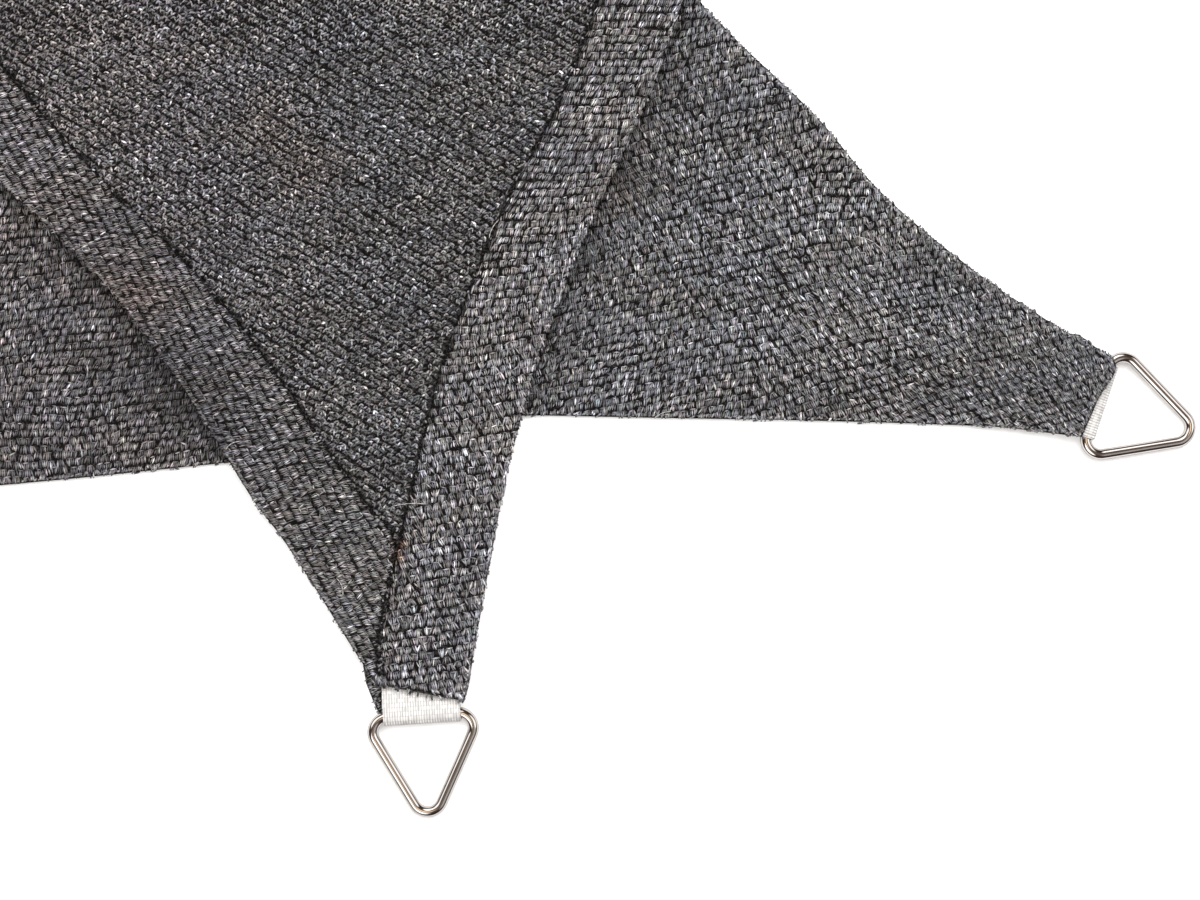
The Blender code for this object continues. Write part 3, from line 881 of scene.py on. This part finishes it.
def back_yarns():
    """Stitches of the bottom layer where the top layer leaves it bare, in a left and a right
    piece. Their size falls evenly with the way past a place, and x is the integral of that.
    A row's height follows the integral of its slope, so rows stay whole while they bend."""
    x, y, turn = lattice(box_of(right[:len(back)]) + (0, 0, 30, 0), 0.0, STITCH, ROW)
    past = np.maximum(x - DRAWN_FROM, 0)
    size = 1 - DRAWN_IN * past
    x = x - DRAWN_IN * past**2 / 2
    off_line = y - BACK_PIVOT[1]
    ramp_x = np.linspace(BACK_TURN[0, 0], BACK_TURN[-1, 0], 400)
    climb = np.cumsum(np.interp(ramp_x, *BACK_TURN.T)) * (ramp_x[1] - ramp_x[0])
    climbed = np.interp(x, ramp_x, climb) - np.interp(BACK_PIVOT[0], ramp_x, climb)
    y = BACK_PIVOT[1] + off_line * size + climbed
    turn = turn + np.arctan(np.interp(x, *BACK_TURN.T) - DRAWN_IN * (past > 0) * off_line / size)
    covered = np.ones(len(x), dtype=bool)
    for dx, dy in SIDEWAYS:
        covered &= top_part(x, y, COVERED * dx, COVERED * dy) > 0
    keep = ~covered & (y < YARNS_TO)
    x, y, turn, size = x[keep], y[keep], turn[keep], size[keep, None]
    lean = 0.22 + 0.22 * np.sin(x / 37 + y / 29) - np.interp(x, (40.0, 190.0), (0.0, 0.5))
    sway = np.full(len(x), 0.2)
    ground_of = (back_chart, ALL_PARTS)
    laid, tones = right_side(x, y, turn, STITCH * size, ROW * size, ground_of, lean, sway)
    to_left = laid[:, 4, 0] < SPLIT_X
    return [(laid[side], tones[side]) for side in (to_left, ~to_left)]


def right_hem_yarns():
    """The right hem's rows are level at the top and rise to the right lower down, where its
    yarns also lean to and fro instead of all to the right."""
    x, y, turn = lattice(box_of(front), 0.0, STITCH, ROW)
    slope = np.interp(y, (-112.0, -20.0, 100.0, 200.0), (0.24, 0.22, 0.08, 0.0))
    y = y + slope * (x + 40)
    keep = near_part(RIGHT, x, y)
    x, y, turn = x[keep], y[keep], (turn + np.arctan(slope))[keep]
    lean = np.interp(y, (20.0, 110.0), (0.06, 0.42))
    sway = np.interp(y, (20.0, 110.0), (0.26, 0.08))
    laid, tones = right_side(x, y, turn, STITCH, ROW, (front_chart, (RIGHT,)), lean, sway)
    return laid, tones * (1.18, 1.16, 1.16)


def stitches_on(part, knit):
    """Stitches of a lattice on one part of the top layer."""
    x, y, turn = lattice(box_of(front), *knit)
    keep = near_part(part, x, y)
    return x[keep], y[keep], turn[keep]


def left_hem_yarns():
    """The left hem's rows run steeply down to the right, nearly along the hem."""
    x, y, turn = stitches_on(LEFT, LEFT_HEM_KNIT)
    lean = np.full(len(x), 0.30)
    return right_side(x, y, turn, *LEFT_HEM_KNIT[1:], (front_chart, (LEFT,)), lean, lean / 2)


def panel_yarns():
    """The wrong side's horseshoes between the hems, in three parts from near to far."""
    x, y, turn = stitches_on(PANEL, PANEL_KNIT)
    third = np.searchsorted(SPLIT_Y, y)
    return [
        wrong_side(x[third == n], y[third == n], turn[third == n], (front_chart, (PANEL, CREASE)), each)
        for n, each in enumerate((5, 5, 4))
    ]


# %% [markdown]
# At a folded edge the knit turns over, and its stitches show end on as a line of short
# bright yarns. They also give the outline its slight unevenness. Over the front webbing the
# cloth is cut, and its yarns stop unevenly.

# %% Edge yarns
EDGE_PITCH = 1.9  # from one short yarn to the next along an edge
RAGGED_YARNS = 230  # on the cut end


def length_of(line):
    """Length of a line from its start to each of its points, seen from above."""
    return np.concatenate([[0], np.cumsum(np.hypot(*np.diff(line[:, :2], axis=0).T))])


def read_line(line, places):
    """Points of a line at these lengths from its start."""
    return np.stack([np.interp(places, length_of(line), line[:, axis]) for axis in (0, 1)], axis=-1)


def edge_yarns(line, chart, inward, pale):
    """Short yarns along an edge, a little inside it, each turned by chance from the edge's
    own direction."""
    even = np.arange(0.5, length_of(line)[-1], EDGE_PITCH)
    x, y = read_line(line, even + RNG.normal(0, 0.3, len(even))).T
    turn = np.arctan2(np.gradient(y), np.gradient(x))
    x, y = step_from(x, y, turn, 0.0, RNG.normal(1.05, 0.16, len(even)) * inward)
    heading = turn + inward * RNG.normal(0.42, 0.22, len(even))
    length, width = RNG.normal(1.8, 0.2, len(even)), RNG.normal(1.1, 0.15, len(even))
    lift = RNG.normal(0.05, 0.12, len(even))
    laid, kept = ribbons(x, y, heading, length, width, (chart, ALL_PARTS), lift)
    return laid, (tints(x, y, 1) * pale)[kept]


def in_view(line):
    """The stretch of an edge below the stack."""
    return line[line[:, 1] < YARNS_TO]


def ragged_end():
    """The cloth's cut end over the front webbing: yarns along the hem that stop unevenly."""
    share = RNG.random(RAGGED_YARNS)
    x, y = (np.interp(share, np.linspace(0, 1, len(front[-1])), front[-1][:, axis]) for axis in (0, 1))
    forward = CORNERS["front"]["points_to"]
    x, y = step_from(x, y, forward, -RNG.normal(1.0, 0.55, len(share)).clip(0.1, 2.5))
    heading = forward + RNG.normal(0.15, 0.4, len(share))
    length, width = RNG.normal(3.3, 0.7, len(share)), RNG.normal(0.95, 0.15, len(share))
    lift = RNG.normal(0.1, 0.15, len(share))
    laid, kept = ribbons(x, y, heading, length, width, (front_chart, ALL_PARTS), lift, trim=False)
    beyond = RNG.uniform(0.0, 1.0, len(laid)) * np.interp(laid[:, 4, 0], (-97.0, -88.0), (0.3, 2.6))
    laid += beyond[:, None, None] * np.append(way("front"), -0.5)
    return laid, (tints(x, y, 1) * RNG.choice([0.25, 0.6, 1.0], (len(x), 1)))[kept]


edges = [
    edge_yarns(in_view(front[:, 0]), front_chart, 1, 0.8),
    edge_yarns(in_view(front[:, -1]), front_chart, -1, 1.0),
    ragged_end(),
    edge_yarns(right[0], back_chart, 1, 0.9),
    edge_yarns(in_view(right[:len(back), 0]), back_chart, -1, 0.9),
    edge_yarns(in_view(right[:len(back), -1]), back_chart, 1, 0.95),
]
edges = [np.concatenate(part) for part in zip(*edges)]
print("edge yarns:", len(edges[0]))

# %% [markdown]
# A few yarn ends have worked loose and lie on the cloth as thin pale hairs.

# %% Loose ends
LOOSE = np.array([  # middle x, y, direction in degrees, length, bow
    (123.0, 92.0, -35, 17, 2.5), (82.0, 93.0, 40, 8, -1.5), (57.0, 93.5, -12, 10, 1.0),
    (74.0, 126.0, -20, 9, 1.5), (28.0, 15.5, 25, 9, 1.0), (64.0, 92.0, -28, 6, -0.8),
    (-86.5, -25.0, 4, 15, 0.7), (-48.0, 100.0, 62, 9, 0.8), (-118.0, -62.0, -70, 8, 1.0),
    (150.0, 60.0, 70, 7, -1.0), (196.0, 38.0, -60, 9, 1.2), (-166.0, 2.0, 30, 7, 1.0),
])
LOOSE_TONE = (0.46, 0.44, 0.43)
LOOSE_WIDTH = LOOSE_LIFT = 0.45


def loose_ends():
    """Each hair is a strip of four ribbons end to end along a parabola: middle plus a share
    of the length ahead and the bow times one less the share squared beside."""
    share = np.linspace(-0.75, 0.75, 4)
    x, y, degrees, length, bow = (column[:, None] for column in LOOSE.T)
    turn = np.radians(degrees)
    places = step_from(x, y, turn, share * length / 2, bow * (1 - share**2))
    hx, hy = (place.ravel() for place in places)
    heading = (turn + np.arctan(-4 * bow * share / length)).ravel()
    long = np.repeat(LOOSE[:, 3] * 0.31, 4)
    laid = []
    for chart, bare in ((front_chart, np.full(len(hx), True)), (back_chart, top_part(hx, hy) == 0)):
        thin = np.full(bare.sum(), LOOSE_WIDTH)
        ground_of = (chart, ALL_PARTS)
        hairs, _ = ribbons(hx[bare], hy[bare], heading[bare], long[bare], thin, ground_of, LOOSE_LIFT)
        laid.append(hairs)
    laid = np.concatenate(laid)
    return laid, np.full((len(laid), 3), LOOSE_TONE)


print(len(LOOSE), "loose ends")

# %% [markdown]
# ## Pieces of yarn
#
# The yarns go into a few large pieces, which are quick to draw and can be hidden one by one.
# Only the knit is dimmed by the layer above or the crease beside it.

# %% Yarn pieces
near, middle, far = panel_yarns()
back_left, back_right = back_yarns()
knit = [
    lay_yarns("knit_back_left", *back_left, beside_top_layer),
    lay_yarns("knit_back_right", *back_right, beside_top_layer),
    lay_yarns("knit_left_hem", *left_hem_yarns(), beside_crease),
    lay_yarns("knit_right_hem", *right_hem_yarns(), beside_crease),
    lay_yarns("knit_panel_near", *near, beside_crease),
    lay_yarns("knit_panel_middle", *middle, beside_crease),
    lay_yarns("knit_panel_far", *far, beside_crease),
    lay_yarns("edge_yarns", *edges),
    lay_yarns("loose_ends", *loose_ends()),
]

# %% [markdown]
# ## Webbing
#
# A flat woven tape goes along the floor, round the ring's bar and back onto itself. Its ribs
# are in the mesh: the thickness swells and shrinks across the width and, half a step on,
# along the length.

# %% Webbing loops
WIRE_R = 2.5
TAPE = 1.2  # thickness of the tape
TAPE_HALF = 17.5  # half its width
TAPE_TUCK = 24.0  # it ends so far behind the bar
TAPE_MEET = 16.0  # and lies level from here
TAPE_GAP = 0.3  # between its two layers
LOOP_R = WIRE_R + 0.6 + TAPE  # outside of the loop round the bar
RIB = 1.2  # from stroke to stroke across the tape
STROKE = 2.1  # and along it


def tape_path():
    """Middle line of the tape seen from the side with the bar at the origin, evenly spaced:
    level, round the bar's circle until it leaves it on a tangent, and down to the end."""
    radius = LOOP_R - TAPE / 2
    high = -radius + TAPE + TAPE_GAP
    leave = math.atan2(high, -TAPE_MEET) % (2 * math.pi) - math.acos(radius / math.hypot(TAPE_MEET, high))
    turns = np.linspace(-math.pi / 2, leave, 40)
    arc = radius * np.stack([np.cos(turns), np.sin(turns)], axis=-1)
    path = np.vstack([[(-TAPE_TUCK, -radius)], arc, [(-TAPE_MEET, high), (-TAPE_TUCK, high)]])
    even = np.linspace(0, length_of(path)[-1], 110)
    return read_line(path, even), even


def at_corner(corner, ahead, beside, height):
    """Points so far ahead of a corner's bar, to its left and above the bar's middle."""
    x, y = step_from(*CORNERS[corner]["bar"], CORNERS[corner]["points_to"], ahead, beside)
    return np.stack([x, y, height + LOOP_R], axis=-1).reshape(-1, 3)


def make_webbing(corner):
    """A closed shell on both sides of the path, its faces waved by a sine across times a
    sine along, which gives the short raised strokes of the weave."""
    path, even = tape_path()
    slope = np.gradient(path, axis=0)
    slope /= np.linalg.norm(slope, axis=1, keepdims=True)
    out = np.stack([slope[:, 1], -slope[:, 0]], axis=1)
    across = np.linspace(-TAPE_HALF, TAPE_HALF, 157)
    strokes = 0.7 + 0.3 * np.sin(2 * math.pi * even[:, None] / STROKE)
    weave = 0.14 * np.sin(2 * math.pi * across[None] / RIB) * strokes
    half = np.clip(TAPE / 2 - 0.15 + weave, 0.25, TAPE / 2)
    edge = np.clip((TAPE_HALF - np.abs(across)) / 0.7, 0.25, 1.0)
    out = out[:, None] * (half * edge)[..., None]
    faces = np.stack([path[:, None] + out, path[:, None] - out])
    points = at_corner(corner, faces[..., 0], np.broadcast_to(across, faces.shape[:3]), faces[..., 1])
    maps = np.stack(np.broadcast_arrays(across[None] / RIB, even[:, None] / STROKE), axis=-1)
    maps = np.tile(maps.reshape(-1, 2), (2, 1))
    quads = shell_quads(*half.shape, flipped=True)
    piece = make_mesh(f"tape_{corner}", points, quads, maps=maps)
    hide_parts(f"webbing_{corner}")
    return piece


tapes = [make_webbing(corner) for corner in CORNERS]
print("tapes:", [len(tape.data.vertices) for tape in tapes])

# %% [markdown]
# ## Tip of the left hem
#
# Beside the front webbing the left hem runs on in a narrow point to the ring, with the
# webbing sewn in beside it. It is a small grid between two side lines, on the floor.

# %% Hem tip
TIP_LEFT = np.array([(-108.5, -92.0), (-106.2, -106.0), (-102.9, -114.4), (-100.5, -119.6)])
TIP_RIGHT = np.array([(-98.0, -92.0), (-99.4, -106.0), (-99.2, -114.4), (-99.3, -119.8)])
TIP_KNIT = (LEFT_HEM_KNIT[0], 3.0, 3.2)
TIP_HEIGHT, TIP_FALL = 1.9, 0.9  # of its middle line at the wide end, and how much it sinks from there
TIP_GAP = 0.05  # under it


def make_hem_tip():
    """Surface between two lines, crowned across: height = the line's own times one less a
    quarter of the square of the way from the middle. The other face is just over the floor."""
    plan = refine(np.stack([TIP_LEFT, TIP_RIGHT], axis=1), (8, 12))
    down, across = np.linspace(0, 1, plan.shape[0])[:, None], np.linspace(-1, 1, plan.shape[1])
    crown = (TIP_HEIGHT - TIP_FALL * down) * (1 - 0.25 * across**2)
    top, bottom = (np.dstack([plan, height]) for height in (crown, np.full_like(crown, TIP_GAP)))
    points = np.stack([top, bottom]).reshape(-1, 3)
    # marked as under laid yarns all over, so the tip's sheet is painted nearly black, as shade between its
    # yarns
    bare = np.ones((len(points), 3))
    quads = shell_quads(*crown.shape)
    tip = make_mesh("hem_tip", points, quads, maps=points[:, :2] / STITCH, colours=bare)
    x, y, turn = lattice(box_of(top), *TIP_KNIT)
    lean = np.full(len(x), 0.1)
    laid, tones = right_side(x, y, turn, *TIP_KNIT[1:], (survey(top), (1,)), lean, lean)
    return tip, lay_yarns("hem_tip_yarns", laid, tones * 0.85)


hem_tip, tip_yarns = make_hem_tip()
knit.append(tip_yarns)

# %% [markdown]
# ## Rings
#
# A ring is 5 mm round wire bent to a triangle with one radius at all three corners. It lies
# with its bar in the webbing and its point on the floor.

# %% Rings
BEND_R = 7.0  # radius of the centreline in the corners
BAR_HALF = 15.8  # half the bar's straight run
RING_REACH = 30.3  # from the middle of the bar's bends to that of the point's


def ring_line():
    """Centreline: three arcs of one radius joined by straight runs, evenly spaced."""
    slope = math.atan2(BAR_HALF, RING_REACH)
    bends = (
        (BEND_R, -BAR_HALF, math.pi, 1.5 * math.pi + slope),
        (BEND_R + RING_REACH, 0.0, slope - math.pi / 2, math.pi / 2 - slope),
        (BEND_R, BAR_HALF, math.pi / 2 - slope, math.pi),
    )
    arcs = []
    for x, y, start, end in bends:
        turns = np.linspace(start, end, 60)
        arcs.append(np.stack([x + BEND_R * np.cos(turns), y + BEND_R * np.sin(turns)], axis=-1))
    path = np.vstack(arcs + [arcs[0][:1]])
    return read_line(path, np.linspace(0, length_of(path)[-1], 241)[:-1])


def make_ring(corner):
    """The wire: a circle carried round the centreline, then pitched so that its point comes
    down to the floor."""
    line = ring_line()
    ahead = np.roll(line, -1, axis=0) - np.roll(line, 1, axis=0)
    ahead /= np.linalg.norm(ahead, axis=1, keepdims=True)
    out = np.stack([ahead[:, 1], -ahead[:, 0]], axis=1)
    round_wire = np.linspace(0, 2 * math.pi, 33)[:-1]
    plan = line[:, None] + WIRE_R * np.cos(round_wire)[None, :, None] * out[:, None]
    height = np.broadcast_to(WIRE_R * np.sin(round_wire), plan.shape[:2])
    pitch = math.asin((LOOP_R - WIRE_R) / (RING_REACH + 2 * BEND_R))
    forward = plan[..., 0] * math.cos(pitch) + height * math.sin(pitch)
    rise = height * math.cos(pitch) - plan[..., 0] * math.sin(pitch)
    points = at_corner(corner, forward, plan[..., 1], rise)
    count, sides = rise.shape
    i, j = np.meshgrid(np.arange(count), np.arange(sides), indexing="ij")
    quads = np.stack([
        i * sides + j, (i + 1) % count * sides + j,
        (i + 1) % count * sides + (j + 1) % sides, i * sides + (j + 1) % sides,
    ], axis=-1).reshape(-1, 4)
    piece = make_mesh(f"wire_{corner}", points, quads)
    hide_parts(f"ring_{corner}")
    return piece


wires = [make_ring(corner) for corner in CORNERS]
print("rings:", [len(wire.data.vertices) for wire in wires])

# %% [markdown]
# ## Materials
#
# Four finishes: the single yarns, the sheet under them, white webbing and polished steel.
# All are made from the same few steps, so each step is a helper that takes outputs of nodes
# and gives the output of a new one.

# %% Material helpers
def noise(tree, scale, detail):
    """Noise over the object's own coordinates."""
    place = add_node(tree, "TexCoord", {}).outputs["Object"]
    return add_node(tree, "TexNoise", {"Vector": place, "Scale": scale, "Detail": detail}).outputs["Fac"]


def spread(value, low, high):
    """A value of 0 to 1, spread from low to high."""
    sockets = {"Value": value, "To Min": low, "To Max": high}
    return add_node(value.id_data, "MapRange", sockets).outputs["Result"]


def times(colour, value):
    """A colour times a value."""
    sockets = {0: colour, 1: value}
    return add_node(colour.id_data, "VectorMath", sockets, operation="MULTIPLY").outputs["Vector"]


def raised(height, strength, distance):
    """Normals of the surface when this height stands out of it."""
    sockets = {"Height": height, "Strength": strength, "Distance": distance}
    return add_node(height.id_data, "Bump", sockets).outputs["Normal"]


def waves(place, scale, distortion, detail_scale):
    """Bent waves across a map, from 0 to 1."""
    sockets = {"Vector": place, "Scale": scale, "Distortion": distortion, "Detail Scale": detail_scale}
    return add_node(place.id_data, "TexWave", sockets).outputs["Fac"]


def bricks(place, one, other, gap, gap_size, softness):
    """Bricks one unit of a map long and high, in two chance colours, with gaps of a third."""
    sockets = {
        "Vector": place, "Color1": (*one, 1), "Color2": (*other, 1), "Mortar": (*gap, 1), "Scale": 1.0,
        "Mortar Size": gap_size, "Mortar Smooth": softness, "Brick Width": 1.0, "Row Height": 1.0,
    }
    return add_node(place.id_data, "TexBrick", sockets).outputs["Color"]


# %% [markdown]
# The yarn is a flat plastic filament. It is half glossy along its length, and each has the
# grey that was painted on its points, streaked a little.

# %% Yarn
yarn, tree, shader = new_material("yarn", {"Roughness": 0.5, "Specular IOR Level": 0.22})
painted = add_node(tree, "Attribute", {}, attribute_name="yarn").outputs["Color"]
streaks = noise(tree, 900, 2)
colour = times(painted, spread(streaks, 0.45, 1.55))
fill(shader, {"Base Color": colour, "Normal": raised(streaks, 0.5, 0.0002)})
for piece in knit:
    piece.data.materials.append(yarn)
print("yarn on", len(knit), "pieces")

# %% [markdown]
# Where no yarn is laid, under the sail and in the stack's edges, the sheet shows a drawn
# knit: stitches from a brick pattern, each crossed by a few yarns from a fine wave. Under
# laid yarns it is painted nearly black, as shade in the gaps between them, with a few paler
# specks of deeper yarns.

# %% Sheet
cloth, tree, shader = new_material("knitted_cloth", {"Roughness": 0.7, "Specular IOR Level": 0.1})
place = add_node(tree, "UVMap", {}, uv_map="knit").outputs["UV"]
jitter = add_node(tree, "TexNoise", {"Vector": place, "Scale": 1.3}).outputs["Color"]
bend = {0: jitter, 1: (0.35, 0.35, 0), 2: place}
bent = add_node(tree, "VectorMath", bend, operation="MULTIPLY_ADD").outputs["Vector"]
stitches = bricks(bent, (0.044, 0.0425, 0.045), (0.135, 0.129, 0.129), (0.012, 0.0115, 0.012), 0.12, 0.6)
drawn_knit = times(stitches, spread(waves(bent, 1.257, 3.0, 2.2), 0.20, 1.35))
# nearly black painted shade in the gaps between laid yarns, with a few paler specks
painted_shade_between_yarns = add_ramp(noise(tree, 950, 3), ((0.50, (0.002, 0.0015, 0.0015)), (0.72, (0.030, 0.027, 0.026))))
laid_over = add_node(tree, "Attribute", {}, attribute_name="yarn").outputs["Fac"]
mixed = add_node(tree, "Mix", {"Factor": laid_over, "A": drawn_knit, "B": painted_shade_between_yarns}, data_type="RGBA")
fill(shader, {"Base Color": mixed.outputs["Result"], "Normal": raised(drawn_knit, 0.8, 0.0005)})
for piece in (sail, hem_tip):
    piece.data.materials.append(cloth)
print("sheet has", cloth.name)

# %% [markdown]
# The webbing is matt white polyester. Its weave shows as short strokes with faint grey
# between them.

# %% Webbing
webbing, tree, shader = new_material("white_webbing", {"Roughness": 0.75, "Sheen Weight": 0.3})
place = add_node(tree, "UVMap", {}, uv_map="knit").outputs["UV"]
strokes = bricks(place, (0.66, 0.645, 0.63), (0.45, 0.44, 0.43), (0.42, 0.415, 0.41), 0.14, 0.8)
colour = times(strokes, spread(waves(place, 0.3142, 2.0, 0.6), 0.68, 1.08))
fill(shader, {"Base Color": colour, "Normal": raised(strokes, 0.4, 0.0002)})
for tape in tapes:
    tape.data.materials.append(webbing)
print("webbing on", len(tapes), "loops")

# %% [markdown]
# The rings are polished stainless wire with slightly uneven polish.

# %% Steel
steel, tree, shader = new_material(
    "polished_steel", {"Metallic": 1.0, "Specular Tint": (0.30, 0.26, 0.24, 1)},
)
cloud = noise(tree, 160, 5)
colour = add_ramp(cloud, ((0.0, (0.46, 0.43, 0.41)), (1.0, (0.60, 0.57, 0.55))))
polish = spread(cloud, 0.05, 0.16)
fill(shader, {"Base Color": colour, "Roughness": polish, "Normal": raised(cloud, 0.06, 0.0002)})
for wire in wires:
    wire.data.materials.append(steel)
print("steel on", len(wires), "rings")
